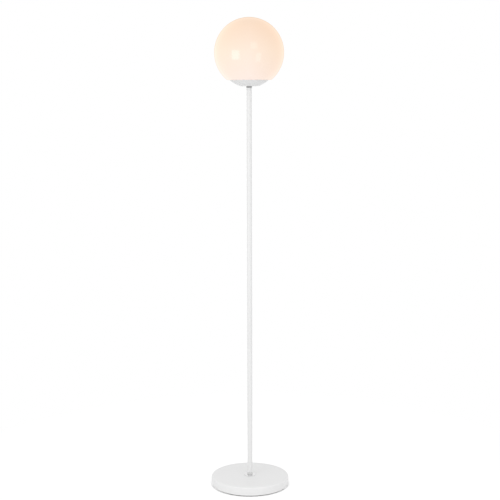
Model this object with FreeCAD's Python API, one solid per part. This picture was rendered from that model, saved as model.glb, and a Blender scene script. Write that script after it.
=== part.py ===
import FreeCAD, Part
import math
import os

# Globe floor lamp, in millimetres with +Z up. The origin is the centre of the base's underside, on the
# floor, and -Y is the front. Threads are plain cylinders, so a rod and its nuts differ by thread_gap.

# Clearances
thread_gap = 0.05  # radial, between a rod and the nut or insert on it
hole_gap = 0.2  # radial, round a rod, screw or bushing in a plain hole
moving_gap = 0.3  # between pieces that move against each other
cut_overrun = 1.0  # how far a cutting bar runs past the face it starts from

# Base
base_radius = 125.0
cover_wall = 1.2
cover_edge_radius = 5.0
pad_thickness = 3.0
pad_inset = 3.5
pad_width = 20.0
plate_thickness = 1.5
plate_side_gap = 0.8
weight_thickness = 16.0
weight_web = 5.0
weight_side_gap = 5.8
weight_rim_width = 10.0
weight_recess_radius = 35.0
weight_boss_radius = 8.0
channel_width = 26.0

# Screws of the bottom plate
plate_screw_count = 4
plate_screw_inset = 35.0
plate_screw_radius = 2.0
plate_screw_head_radius = 4.0
plate_screw_head_height = 2.2
plate_screw_length = 9.0

# Bushing for the mains lead, in the rear of the cover
gland_height = 9.5  # its axis above the bottom plate
gland_bore_radius = 3.5
gland_body_radius = 5.5
gland_flange_radius = 7.5
gland_flange_thickness = 2.0
gland_barb_radius = 6.3
gland_barb_length = 3.0
gland_body_length = 12.0

# Terminal block
block_distance = 60.0  # from the lamp's axis to the block's middle
block_width = 20.0
block_length = 16.0
block_height = 12.0
block_pitch = 9.0
clamp_wall = 1.1
clamp_bore_gap = 0.3  # round a wire in its clamp
clamp_inset = 1.0
terminal_screw_radius = 1.25
terminal_screw_head_radius = 1.9
terminal_screw_head_height = 1.5
terminal_screw_spacing = 8.0
block_screw_radius = 1.4
block_screw_head_radius = 2.4
block_screw_head_height = 1.6
block_screw_depth = 3.5

# Hollow threaded rods, nuts and washers
rod_radius = 5.0
rod_bore_radius = 3.5
rod_overrun = 1.0
rod_in_pole = 14.0
thin_nut_flats = 14.0
thin_nut_height = 3.2
washer_radius = 15.0
washer_thickness = 1.5
lock_washer_radius = 8.5
lock_washer_thickness = 0.8
foot_washer_radius = 19.0
foot_washer_thickness = 1.5
foot_washer_chamfer = 0.4
foot_nut_height = 8.0
collar_height = 4.5
nut_beyond_pole = 0.0  # how far the flats of the nuts at the pole's two ends stand out past it

# Pole
pole_radius = 8.0
pole_wall = 1.2
pole_length = 1238.5
pole_sections = 3
pole_end_chamfer = 0.2
insert_length = 20.0
stud_length = 32.0

# Wires
wire_radius = 1.0
wire_gap = 0.4  # between the two wires in the pole
wire_bend_radius = 8.0
wire_jog_reach = 2.6  # from each corner of the jog below the lampholder's insert to its bend's ends
wire_floor_gap = 2.8
wire_grip = 6.0  # length inside a terminal

# Cup
cup_depth = 18.7
cup_wall = 1.2
cup_lip = 3.2
cup_rim_beyond_neck = 17.5
cup_flat_radius = 26.6
gasket_thickness = 0.8
gasket_inset = 0.3

# Globe
globe_radius = 108.0
glass_wall = 2.8
glass_overhang = 8.7
shoulder_edge_radius = 4.0
neck_radius = 42.5
neck_end_gap = 1.5  # from the neck's end down to the cup

# Springs that grip the neck from inside, and their carrier
spring_count = 3
spring_first_angle = 90.0
spring_width = 8.0
spring_thickness = 0.5
spring_bend_radius = 1.5
spring_depth = 4.5  # from the foot of a spring out to its belly
spring_above_seat = 11.0
spring_foot_inset = 1.0  # from each end of the carrier's tab
carrier_radius = 15.0
carrier_thickness = 1.0
carrier_flat_radius = 20.0
carrier_arm_width = 10.0
carrier_arm_start = 1.0  # beyond the hole in the carrier's middle
carrier_bend_radius = 2.0
carrier_tab_height = 7.5
rivet_radius = 1.5
rivet_head_radius = 2.4
rivet_head_height = 0.8

# Lampholder
holder_cap_step = 0.7  # how far the shell stands out past the cap
holder_cap_height = 22.0
holder_chamfer = 1.0
holder_floor = 7.0
holder_wall = 2.1
holder_ledge = 1.9
holder_spigot_length = 4.0
holder_spigot_wall = 0.95
insert_level = 20.5  # underside of the lampholder's insert above the cap's underside
insert_height = 9.0
holder_mouth_wall = 4.8
screw_shell_gap = 1.55  # round the screw shell, which is carried by the insert
screw_shell_wall = 0.5
screw_shell_height = 21.0
contact_width = 5.0
contact_thickness = 0.6
contact_height = 2.2
contact_length = 14.0
holder_screw_inset = 4.5  # from the cap's ledge in to the middle of a terminal screw
holder_wire_inset = 5.0  # from a terminal screw in to its wire
holder_screw_radius = 1.5
holder_screw_head_radius = 2.3
holder_screw_head_height = 1.8
holder_screw_depth = 5.0
grub_screw_radius = 1.5
grub_screw_sunk = 1.0

# Bulb, with its heights counted from its tip
bulb_radius = 30.0
bulb_length = 107.0
bulb_wall = 1.2
bulb_cap_radius = 13.05
bulb_cap_wall = 0.5
bulb_cap_length = 26.0
bulb_cap_taper = 2.5
bulb_cap_lip = 1.45
bulb_insulator_bottom = 1.2
bulb_insulator_top = 4.5
bulb_insulator_height = 1.5
bulb_insulator_step = 1.0  # beyond the tip
bulb_tip_radius = 4.5
bulb_collar_step = 1.15  # beyond the bulb's cap
bulb_collar_height = 1.5
bulb_skirt_length = 12.0
bulb_seam = 60.0
bulb_board_thickness = 1.5
bulb_board_ledge = 2.0

# Heights, from the floor up
plate_bottom = pad_thickness
plate_top = plate_bottom + plate_thickness
wire_run = plate_top + wire_floor_gap + wire_radius
rod_bottom = wire_run + wire_bend_radius
under_nut_bottom = rod_bottom + rod_overrun
under_lock_bottom = under_nut_bottom + thin_nut_height
under_washer_bottom = under_lock_bottom + lock_washer_thickness
web_bottom = under_washer_bottom + washer_thickness
weight_top = web_bottom + weight_web
weight_bottom = weight_top - weight_thickness
base_top = weight_top + cover_wall
foot_nut_bottom = base_top + foot_washer_thickness
pole_bottom = foot_nut_bottom + foot_nut_height
pole_top = pole_bottom + pole_length
cup_floor = pole_top + collar_height
cup_rim = cup_floor + cup_depth
glass_seat = cup_rim + gasket_thickness
carrier_bottom = cup_floor + cup_wall
cup_lock_bottom = carrier_bottom + carrier_thickness
cup_nut_bottom = cup_lock_bottom + lock_washer_thickness
holder_bottom = cup_nut_bottom + thin_nut_height
nipple_top = holder_bottom + holder_floor
insert_bottom = holder_bottom + insert_level
insert_top = insert_bottom + insert_height
bulb_bottom = insert_top + contact_height + moving_gap
screw_shell_top = insert_top + screw_shell_height
holder_top = bulb_bottom + bulb_cap_length - moving_gap

# Radii and places that follow from the sizes above
cover_bore = base_radius - cover_wall
plate_radius = cover_bore - plate_side_gap
weight_radius = cover_bore - weight_side_gap
plate_screw_circle = base_radius - plate_screw_inset
gland_level = plate_top + gland_height
clamp_bore_radius = wire_radius + clamp_bore_gap
clamp_radius = clamp_bore_radius + clamp_wall
block_bottom = web_bottom - block_height
block_axis = block_bottom + block_height / 2
nut_bore = rod_radius + thread_gap
rod_hole = rod_radius + hole_gap
pole_bore = pole_radius - pole_wall
pole_nut_flats = 2 * (pole_radius + nut_beyond_pole)
section_length = pole_length / pole_sections
wire_spacing = 2 * wire_radius + wire_gap
neck_bore = neck_radius - glass_wall
cup_rim_radius = neck_radius + cup_rim_beyond_neck
cup_spread = cup_rim_radius**2 - cup_flat_radius**2
cup_centre = (cup_floor + cup_rim) / 2 + cup_spread / (2 * cup_depth)
cup_ball_radius = math.hypot(cup_rim_radius, cup_centre - cup_rim)
cup_wall_at_neck = cup_centre - math.sqrt((cup_ball_radius - cup_wall) ** 2 - neck_radius**2)
neck_bottom = cup_wall_at_neck + neck_end_gap
shoulder_radius = cup_rim_radius + glass_overhang
globe_centre = glass_seat + math.sqrt(globe_radius**2 - shoulder_radius**2)
screw_shell_bore = bulb_cap_radius + moving_gap
holder_mouth = screw_shell_bore + screw_shell_wall + screw_shell_gap
holder_shell_radius = holder_mouth + holder_mouth_wall
holder_radius = holder_shell_radius - holder_cap_step
holder_bore = holder_radius - holder_wall
holder_screw_place = holder_bore - holder_ledge - holder_screw_inset
holder_wire_place = holder_screw_place - holder_wire_inset
bulb_collar_radius = bulb_cap_radius + bulb_collar_step

AXIS = FreeCAD.Vector(0, 0, 1)
REAR = FreeCAD.Vector(0, 1, 0)
CENTRE = FreeCAD.Vector(0, 0, 0)


def line(start, end):
    """Straight edge between two (radius, height) points."""
    return Part.LineSegment(point(*start), point(*end)).toShape()


def point(radius, height):
    return FreeCAD.Vector(radius, 0, height)


def arc(centre, radius, start, end):
    """Arc about a (radius, height) centre between two angles in degrees, 90 being up."""
    ends = []
    for angle in (start, (start + end) / 2, end):
        turn = math.radians(angle)
        ends.append(point(centre[0] + radius * math.cos(turn), centre[1] + radius * math.sin(turn)))
    return Part.Arc(*ends).toShape()


def angle_at(centre, place):
    """Angle in degrees of a (radius, height) place seen from a centre."""
    return math.degrees(math.atan2(place[1] - centre[1], place[0] - centre[0]))


def turned(edges):
    """Solid turned about the lamp's axis from a closed outline of edges."""
    return Part.Face(Part.Wire(edges)).revolve(CENTRE, AXIS, 360)


def turned_polygon(corners):
    """Solid turned from a closed outline of straight edges through (radius, height) corners."""
    return turned([line(a, b) for a, b in zip(corners, corners[1:] + corners[:1])])


def tube(bore, radius, bottom, top):
    return turned_polygon([(bore, bottom), (radius, bottom), (radius, top), (bore, top)])


def rod(radius, bottom, top, x=0.0, y=0.0):
    """Upright round bar."""
    return Part.makeCylinder(radius, top - bottom, FreeCAD.Vector(x, y, bottom), AXIS)


def block(x_low, x_high, y_low, y_high, bottom, top):
    corner = FreeCAD.Vector(x_low, y_low, bottom)
    return Part.makeBox(x_high - x_low, y_high - y_low, top - bottom, corner)


def hex_nut(flats, bore, bottom, top):
    """Hex nut with its corners turned down at 30 degrees on both faces."""
    corner = flats / math.sqrt(3)
    outline = []
    for side in range(7):
        turn = math.radians(60 * side)
        outline.append(FreeCAD.Vector(corner * math.cos(turn), corner * math.sin(turn), bottom))
    prism = Part.Face(Part.makePolygon(outline)).extrude(AXIS * (top - bottom))
    drop = (corner - flats / 2) * math.tan(math.radians(30))
    corners = [(flats / 2, bottom), (corner, bottom + drop), (corner, top - drop), (flats / 2, top)]
    envelope = turned_polygon([(bore, bottom)] + corners + [(bore, top)])
    return prism.common(envelope)


def screw(radius, length, head_radius, head_height, x, y, seat):
    """Screw put in from below: the head hangs under the seat and the shank stands above it."""
    head = rod(head_radius, seat - head_height, seat, x, y)
    return head.fuse(rod(radius, seat, seat + length, x, y)).removeSplitter()


def around(shape, count, first_angle):
    """Copies of a shape, made at angle 0, at even turns about the lamp's axis."""
    copies = []
    for number in range(count):
        copy = shape.copy()
        copy.rotate(CENTRE, AXIS, first_angle + number * 360 / count)
        copies.append(copy)
    return copies


def rounded_path(points, radii):
    """Straight runs through the points, joined by tangent arcs of the given radii."""
    edges = []
    start = points[0]
    for before, corner, after, radius in zip(points, points[1:], points[2:], radii):
        back = (before - corner).normalize()
        onward = (after - corner).normalize()
        half_turn = (math.pi - back.getAngle(onward)) / 2
        reach = radius * math.tan(half_turn)
        arc_start = corner + back * reach
        arc_end = corner + onward * reach
        inward = (back + onward).normalize()
        middle = corner + inward * (radius / math.cos(half_turn) - radius)
        edges.append(Part.LineSegment(start, arc_start).toShape())
        edges.append(Part.Arc(arc_start, middle, arc_end).toShape())
        start = arc_end
    edges.append(Part.LineSegment(start, points[-1]).toShape())
    return Part.Wire(edges)


def strip(points, radii, width, thickness):
    """Bent strip whose middle follows (radius, height) points, as wide as width across the radial plane."""
    path = rounded_path([point(*place) for place in points], radii)
    along = (point(*points[1]) - point(*points[0])).normalize()
    side = FreeCAD.Vector(0, width / 2, 0)
    across = side.cross(along).normalize() * (thickness / 2)
    start = point(*points[0])
    corners = [start - side - across, start + side - across, start + side + across, start - side + across]
    section = Part.makePolygon(corners + corners[:1])
    return path.makePipeShell([section], True, False)


# ---- Base ----


def make_foot_pad():
    outer = base_radius - pad_inset
    return tube(outer - pad_width, outer, 0.0, pad_thickness)


def plate_screw_places():
    places = []
    for number in range(plate_screw_count):
        turn = math.radians((number + 0.5) * 360 / plate_screw_count)
        places.append((plate_screw_circle * math.cos(turn), plate_screw_circle * math.sin(turn)))
    return places


def make_bottom_plate():
    plate = rod(plate_radius, plate_bottom, plate_top)
    for x, y in plate_screw_places():
        plate = plate.cut(rod(plate_screw_radius + hole_gap, plate_bottom, plate_top, x, y))
    return plate


def make_bottom_plate_screws():
    screws = []
    for x, y in plate_screw_places():
        size = (plate_screw_radius, plate_screw_length, plate_screw_head_radius, plate_screw_head_height)
        screws.append(screw(*size, x, y, plate_bottom))
    return Part.makeCompound(screws)


def make_base_weight():
    """Cast disc with a rim and four bosses that stand on the plate, and a channel to the rear."""
    inner_rim = weight_radius - weight_rim_width
    weight = turned_polygon(
        [
            (rod_hole, web_bottom),
            (weight_recess_radius, web_bottom),
            (weight_recess_radius, weight_bottom),
            (inner_rim, weight_bottom),
            (inner_rim, plate_top),
            (weight_radius, plate_top),
            (weight_radius, weight_top),
            (rod_hole, weight_top),
        ]
    )
    for x, y in plate_screw_places():
        weight = weight.fuse(rod(weight_boss_radius, plate_top, weight_bottom, x, y))
    weight = weight.removeSplitter()
    for x, y in plate_screw_places():
        screw_end = plate_bottom + plate_screw_length + hole_gap
        weight = weight.cut(rod(plate_screw_radius + thread_gap, plate_top, screw_end, x, y))
    half = channel_width / 2
    weight = weight.cut(block(-half, half, 0, weight_radius + cut_overrun, plate_top, web_bottom))
    screw_end = web_bottom + block_screw_depth
    return weight.cut(rod(block_screw_radius + thread_gap, web_bottom, screw_end, 0, block_distance))


def gland_cylinder(radius, inner_end, outer_end):
    """Round bar along +Y at the bushing's level."""
    start = FreeCAD.Vector(0, inner_end, gland_level)
    return Part.makeCylinder(radius, outer_end - inner_end, start, REAR)


def make_base_cover():
    """Pressed cover: a flat top, a rounded edge and an upright wall, open below."""
    edge = cover_edge_radius
    centre = (base_radius - edge, base_top - edge)
    cover = turned(
        [
            line((rod_hole, weight_top), (centre[0], weight_top)),
            arc(centre, edge - cover_wall, 90, 0),
            line((cover_bore, centre[1]), (cover_bore, plate_bottom)),
            line((cover_bore, plate_bottom), (base_radius, plate_bottom)),
            line((base_radius, plate_bottom), (base_radius, centre[1])),
            arc(centre, edge, 0, 90),
            line((centre[0], base_top), (rod_hole, base_top)),
            line((rod_hole, base_top), (rod_hole, weight_top)),
        ]
    )
    return cover.cut(gland_cylinder(gland_body_radius + hole_gap, weight_radius, base_radius + cut_overrun))


def make_cable_gland():
    """Bushing with a flange that lies on the cover's round wall and a barb ring behind the wall."""
    outer_end = base_radius + gland_flange_thickness
    flange = gland_cylinder(gland_flange_radius, weight_radius, outer_end)
    flange = flange.cut(rod(base_radius, plate_bottom, base_top))
    barb_end = math.sqrt(cover_bore**2 - gland_barb_radius**2) - moving_gap
    barb = gland_cylinder(gland_barb_radius, barb_end - gland_barb_length, barb_end)
    body = gland_cylinder(gland_body_radius, outer_end - gland_body_length, outer_end)
    gland = body.fuse([flange, barb]).removeSplitter()
    return gland.cut(gland_cylinder(gland_bore_radius, 0, outer_end + cut_overrun))


# ---- Terminal block in the base ----


def terminal_places():
    """X and Y of the block's four clamp screws."""
    places = []
    for x in (-block_pitch / 2, block_pitch / 2):
        for y in (-terminal_screw_spacing / 2, terminal_screw_spacing / 2):
            places.append((x, block_distance + y))
    return places


def clamp_bar(radius, x, inset):
    """Round bar along +Y through the block at one pole."""
    low = block_distance - block_length / 2 + inset
    start = FreeCAD.Vector(x, low, block_axis)
    return Part.makeCylinder(radius, block_length - 2 * inset, start, REAR)


def make_terminal_block():
    half = block_width / 2
    low = block_distance - block_length / 2
    body = block(-half, half, low, low + block_length, block_bottom, web_bottom)
    for x in (-block_pitch / 2, block_pitch / 2):
        body = body.cut(clamp_bar(clamp_radius, x, 0))
    for x, y in terminal_places():
        body = body.cut(rod(terminal_screw_head_radius + thread_gap, block_bottom, block_axis, x, y))
    body = body.cut(rod(block_screw_radius + hole_gap, block_bottom, web_bottom, 0, block_distance))
    well = block_bottom + block_screw_head_height
    return body.cut(rod(block_screw_head_radius + thread_gap, block_bottom, well, 0, block_distance))


def make_terminal_clamps():
    clamps = []
    for x in (-block_pitch / 2, block_pitch / 2):
        clamp = clamp_bar(clamp_radius, x, clamp_inset).cut(clamp_bar(clamp_bore_radius, x, 0))
        for place_x, y in terminal_places():
            if place_x == x:
                clamp = clamp.cut(rod(terminal_screw_radius + thread_gap, block_bottom, block_axis, x, y))
        clamps.append(clamp)
    return Part.makeCompound(clamps)


def make_terminal_screws():
    seat = block_bottom + terminal_screw_head_height
    length = block_axis - clamp_bore_radius - seat
    size = (terminal_screw_radius, length, terminal_screw_head_radius, terminal_screw_head_height)
    return Part.makeCompound([screw(*size, x, y, seat) for x, y in terminal_places()])


def make_terminal_block_screw():
    seat = block_bottom + block_screw_head_height
    length = web_bottom + block_screw_depth - seat
    size = (block_screw_radius, length, block_screw_head_radius, block_screw_head_height)
    return screw(*size, 0, block_distance, seat)


# ---- Foot of the pole ----


def hollow_rod(bottom, top):
    return tube(rod_bore_radius, rod_radius, bottom, top)


def make_foot_washer():
    edge = foot_washer_radius - foot_washer_chamfer
    shoulder = foot_nut_bottom - foot_washer_chamfer
    return turned_polygon(
        [
            (rod_hole, base_top),
            (foot_washer_radius, base_top),
            (foot_washer_radius, shoulder),
            (edge, foot_nut_bottom),
            (rod_hole, foot_nut_bottom),
        ]
    )


# ---- Pole ----


def section_end(number):
    """Height of the lower end of a pole section, the first being number 0."""
    return pole_bottom + number * section_length


def make_pole_tube(number):
    bottom = section_end(number)
    top = section_end(number + 1)
    edge = pole_radius - pole_end_chamfer
    return turned_polygon(
        [
            (pole_bore, bottom),
            (edge, bottom),
            (pole_radius, bottom + pole_end_chamfer),
            (pole_radius, top - pole_end_chamfer),
            (edge, top),
            (pole_bore, top),
        ]
    )


def insert(bottom):
    """Threaded insert that fills the pole's bore."""
    return tube(nut_bore, pole_bore, bottom, bottom + insert_length)


def make_joint_inserts(number):
    level = section_end(number)
    return Part.makeCompound([insert(level - insert_length), insert(level)])


def make_joint_stud(number):
    level = section_end(number)
    return hollow_rod(level - stud_length / 2, level + stud_length / 2)


# ---- Cup ----


def make_gallery_cup():
    """Shallow bowl with a flat floor and a lip that carries the glass."""
    centre = (0, cup_centre)
    inner = cup_ball_radius - cup_wall
    floor_in = cup_floor + cup_wall
    lip_under = cup_rim - cup_wall
    flat_in = math.sqrt(inner**2 - (cup_centre - floor_in) ** 2)
    wall_in = math.sqrt(inner**2 - (cup_centre - lip_under) ** 2)
    lip_radius = cup_rim_radius - cup_lip
    outside = [angle_at(centre, (cup_flat_radius, cup_floor)), angle_at(centre, (cup_rim_radius, cup_rim))]
    inside = [angle_at(centre, (wall_in, lip_under)), angle_at(centre, (flat_in, floor_in))]
    return turned(
        [
            line((rod_hole, cup_floor), (cup_flat_radius, cup_floor)),
            arc(centre, cup_ball_radius, *outside),
            line((cup_rim_radius, cup_rim), (lip_radius, cup_rim)),
            line((lip_radius, cup_rim), (lip_radius, lip_under)),
            line((lip_radius, lip_under), (wall_in, lip_under)),
            arc(centre, inner, *inside),
            line((flat_in, floor_in), (rod_hole, floor_in)),
            line((rod_hole, floor_in), (rod_hole, cup_floor)),
        ]
    )


def make_rim_gasket():
    return tube(cup_rim_radius - cup_lip, cup_rim_radius - gasket_inset, cup_rim, glass_seat)


# ---- Globe ----


def make_globe():
    """Blown ball with a flat shoulder on the cup's rim and a neck inside the cup."""
    centre = (0, globe_centre)
    inner = globe_radius - glass_wall
    edge = shoulder_edge_radius
    rise = globe_centre - glass_seat - edge
    edge_centre = (math.sqrt((globe_radius - edge) ** 2 - rise**2), glass_seat + edge)
    outer_start = angle_at(centre, edge_centre)
    shoulder_in = glass_seat + glass_wall
    inner_edge = math.sqrt(inner**2 - (globe_centre - shoulder_in) ** 2)
    return turned(
        [
            line((neck_bore, neck_bottom), (neck_radius, neck_bottom)),
            line((neck_radius, neck_bottom), (neck_radius, glass_seat)),
            line((neck_radius, glass_seat), (edge_centre[0], glass_seat)),
            arc(edge_centre, edge, -90, outer_start),
            arc(centre, globe_radius, outer_start, 90),
            line((0, globe_centre + globe_radius), (0, globe_centre + inner)),
            arc(centre, inner, 90, angle_at(centre, (inner_edge, shoulder_in))),
            line((inner_edge, shoulder_in), (neck_bore, shoulder_in)),
            line((neck_bore, shoulder_in), (neck_bore, neck_bottom)),
        ]
    )


# ---- Springs and their carrier ----


def spring_belly():
    """Radius of the outer face of a spring's belly, with its corners clear of the neck's bore."""
    return math.sqrt((neck_bore - moving_gap) ** 2 - (spring_width / 2) ** 2)


def tab_radius():
    """Radius of the outer face of the carrier's upright tabs, where the springs are riveted."""
    return spring_belly() - spring_depth - spring_thickness


def rivet_level():
    """Half way up the tabs, which start level with the neck's end."""
    return neck_bottom + carrier_tab_height / 2


def rivet_bar(radius, inner, outer):
    """Round bar along +X at the rivets' level."""
    start = FreeCAD.Vector(inner, 0, rivet_level())
    return Part.makeCylinder(radius, outer - inner, start, FreeCAD.Vector(1, 0, 0))


def make_spring_carrier():
    """Plate under the cup's nut, with an arm and a tab for each spring."""
    middle = carrier_bottom + carrier_thickness / 2
    tab_middle = tab_radius() - carrier_thickness / 2
    centreline = [
        (rod_hole + carrier_arm_start, middle),
        (carrier_flat_radius, middle),
        (tab_middle, neck_bottom),
        (tab_middle, neck_bottom + carrier_tab_height),
    ]
    bends = [carrier_bend_radius, carrier_bend_radius]
    arm = strip(centreline, bends, carrier_arm_width, carrier_thickness)
    arm = arm.cut(rivet_bar(rivet_radius, carrier_flat_radius, neck_bore))
    carrier = tube(rod_hole, carrier_radius, carrier_bottom, cup_lock_bottom)
    return carrier.fuse(around(arm, spring_count, spring_first_angle)).removeSplitter()


def make_globe_springs():
    foot = tab_radius() + spring_thickness / 2
    belly = spring_belly() - spring_thickness / 2
    foot_bottom = neck_bottom + spring_foot_inset
    foot_top = neck_bottom + carrier_tab_height - spring_foot_inset
    belly_level = glass_seat + spring_thickness
    end = (foot, glass_seat + spring_above_seat)
    rising = math.atan2(belly - foot, belly_level - foot_top)
    falling = math.atan2(belly - foot, end[1] - belly_level)
    half_turn = (rising + falling) / 2
    trim = spring_bend_radius / math.cos(half_turn) - spring_bend_radius
    centreline = [(foot, foot_bottom), (foot, foot_top), (belly + trim, belly_level), end]
    bends = [spring_bend_radius, spring_bend_radius]
    spring = strip(centreline, bends, spring_width, spring_thickness)
    spring = spring.cut(rivet_bar(rivet_radius, carrier_flat_radius, neck_bore))
    return Part.makeCompound(around(spring, spring_count, spring_first_angle))


def make_spring_rivets():
    inner = tab_radius() - carrier_thickness
    outer = tab_radius() + spring_thickness
    shank = rivet_bar(rivet_radius, inner - rivet_head_height, outer + rivet_head_height)
    heads = [
        rivet_bar(rivet_head_radius, inner - rivet_head_height, inner),
        rivet_bar(rivet_head_radius, outer, outer + rivet_head_height),
    ]
    rivet = shank.fuse(heads).removeSplitter()
    return Part.makeCompound(around(rivet, spring_count, spring_first_angle))


# ---- Lampholder ----


def make_lampholder_cap():
    """Cup of the lampholder, on the nipple, with a ledge for the insert and a seat for the shell."""
    cap_top = holder_bottom + holder_cap_height
    spigot_seat = cap_top - holder_spigot_length
    spigot_radius = holder_bore + holder_spigot_wall + thread_gap
    cap = turned_polygon(
        [
            (nut_bore, holder_bottom),
            (holder_radius - holder_chamfer, holder_bottom),
            (holder_radius, holder_bottom + holder_chamfer),
            (holder_radius, cap_top),
            (spigot_radius, cap_top),
            (spigot_radius, spigot_seat),
            (holder_bore, spigot_seat),
            (holder_bore, insert_bottom),
            (holder_bore - holder_ledge, insert_bottom),
            (holder_bore - holder_ledge, nipple_top),
            (nut_bore, nipple_top),
        ]
    )
    return cap.cut(grub_bar(grub_screw_radius + thread_gap, holder_radius + cut_overrun))


def grub_bar(radius, end):
    """Round bar along +Y from the nipple outwards, half way up the cap's floor."""
    start = FreeCAD.Vector(0, rod_radius, holder_bottom + holder_floor / 2)
    return Part.makeCylinder(radius, end - rod_radius, start, REAR)


def make_lampholder_grub_screw():
    clear_of_nipple = rod(nut_bore, holder_bottom, nipple_top)
    return grub_bar(grub_screw_radius, holder_radius - grub_screw_sunk).cut(clear_of_nipple)


def make_lampholder_insert():
    """Round block that carries the contacts, with two wire holes and two screw holes in its underside."""
    body = rod(holder_bore - hole_gap, insert_bottom, insert_top)
    wire_end = insert_bottom + wire_grip
    screw_end = insert_bottom + holder_screw_depth
    for side in (-1, 1):
        wire_hole = rod(wire_radius + hole_gap, insert_bottom, wire_end, side * holder_wire_place)
        screw_radius = holder_screw_radius + thread_gap
        body = body.cut(wire_hole)
        body = body.cut(rod(screw_radius, insert_bottom, screw_end, side * holder_screw_place))
    return body


def make_holder_terminal_screws():
    size = (holder_screw_radius, holder_screw_depth, holder_screw_head_radius, holder_screw_head_height)
    places = (-holder_screw_place, holder_screw_place)
    return Part.makeCompound([screw(*size, x, 0, insert_bottom) for x in places])


def make_lampholder_shell():
    """Outer sleeve: a spigot in the cap, a wide part round the insert and a narrower mouth above it."""
    cap_top = holder_bottom + holder_cap_height
    spigot_end = cap_top - holder_spigot_length + hole_gap
    return turned_polygon(
        [
            (holder_bore, spigot_end),
            (holder_bore + holder_spigot_wall, spigot_end),
            (holder_bore + holder_spigot_wall, cap_top),
            (holder_shell_radius, cap_top),
            (holder_shell_radius, holder_top - holder_chamfer),
            (holder_shell_radius - holder_chamfer, holder_top),
            (holder_mouth, holder_top),
            (holder_mouth, insert_top),
            (holder_bore, insert_top),
        ]
    )


def make_screw_shell():
    return tube(screw_shell_bore, screw_shell_bore + screw_shell_wall, insert_top, screw_shell_top)


def make_centre_contact():
    """Springy tongue on the insert, raised under the bulb's tip."""
    half = contact_length / 2
    low = insert_top + contact_thickness / 2
    high = insert_top + contact_height - contact_thickness / 2
    centreline = [(-half, low), (-half / 2, low), (-half / 4, high), (half / 2, high)]
    bends = [contact_thickness, contact_thickness]
    return strip(centreline, bends, contact_width, contact_thickness)


# ---- Bulb ----


def above_tip(height):
    return bulb_bottom + height


def make_bulb_tip():
    """Solder pad under the bulb, slightly domed."""
    top = above_tip(bulb_insulator_bottom)
    rise = bulb_insulator_bottom / 2
    return turned_polygon(
        [
            (0, bulb_bottom),
            (bulb_tip_radius / 2, bulb_bottom),
            (bulb_tip_radius, bulb_bottom + rise),
            (bulb_tip_radius, top),
            (0, top),
        ]
    )


def cap_lip_radius():
    """Inner radius of the bulb cap's turned-in lower end, which holds the insulator."""
    return bulb_cap_radius - bulb_cap_lip - bulb_cap_wall


def make_bulb_insulator():
    bottom = above_tip(bulb_insulator_bottom)
    top = above_tip(bulb_insulator_top)
    lip = cap_lip_radius()
    return turned_polygon(
        [
            (0, bottom),
            (bulb_tip_radius + bulb_insulator_step, bottom),
            (lip, top),
            (lip, top + bulb_insulator_height),
            (0, top + bulb_insulator_height),
        ]
    )


def make_bulb_cap():
    bottom = above_tip(bulb_insulator_top)
    shoulder = bottom + bulb_cap_taper
    top = above_tip(bulb_cap_length)
    lip = bulb_cap_radius - bulb_cap_lip
    bore = bulb_cap_radius - bulb_cap_wall
    return turned_polygon(
        [
            (lip, bottom),
            (bulb_cap_radius, shoulder),
            (bulb_cap_radius, top),
            (bore, top),
            (bore, shoulder),
            (cap_lip_radius(), bottom + bulb_cap_wall),
            (cap_lip_radius(), bottom),
        ]
    )


def dome_centre():
    return (0, above_tip(bulb_length - bulb_radius))


def seam_radius():
    """Outer radius of the bulb where its dome sits on its housing."""
    drop = bulb_length - bulb_radius - bulb_seam
    return math.sqrt(bulb_radius**2 - drop**2)


def flare_circle():
    """Centre and radius of the housing's flare, which leaves the collar and runs on into the dome's ball."""
    seam = (seam_radius(), above_tip(bulb_seam))
    foot = (bulb_collar_radius, above_tip(bulb_cap_length) + bulb_collar_height)
    normal = (seam[0] / bulb_radius, (seam[1] - dome_centre()[1]) / bulb_radius)
    run = (seam[0] - foot[0], seam[1] - foot[1])
    leaning = run[0] * normal[0] + run[1] * normal[1]
    radius = -(run[0] ** 2 + run[1] ** 2) / (2 * leaning)
    return (seam[0] + radius * normal[0], seam[1] + radius * normal[1]), radius


def flare_radius(height, wall):
    """Radius of the housing's flare at a height, a wall's thickness inside its outer face."""
    centre, radius = flare_circle()
    return centre[0] - math.sqrt((radius + wall) ** 2 - (height - centre[1]) ** 2)


def flare_arc(wall, first, last):
    """Arc of the flare between two heights."""
    centre, radius = flare_circle()
    turns = [angle_at(centre, (flare_radius(height, wall), height)) % 360 for height in (first, last)]
    return arc(centre, radius + wall, *turns)


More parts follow.
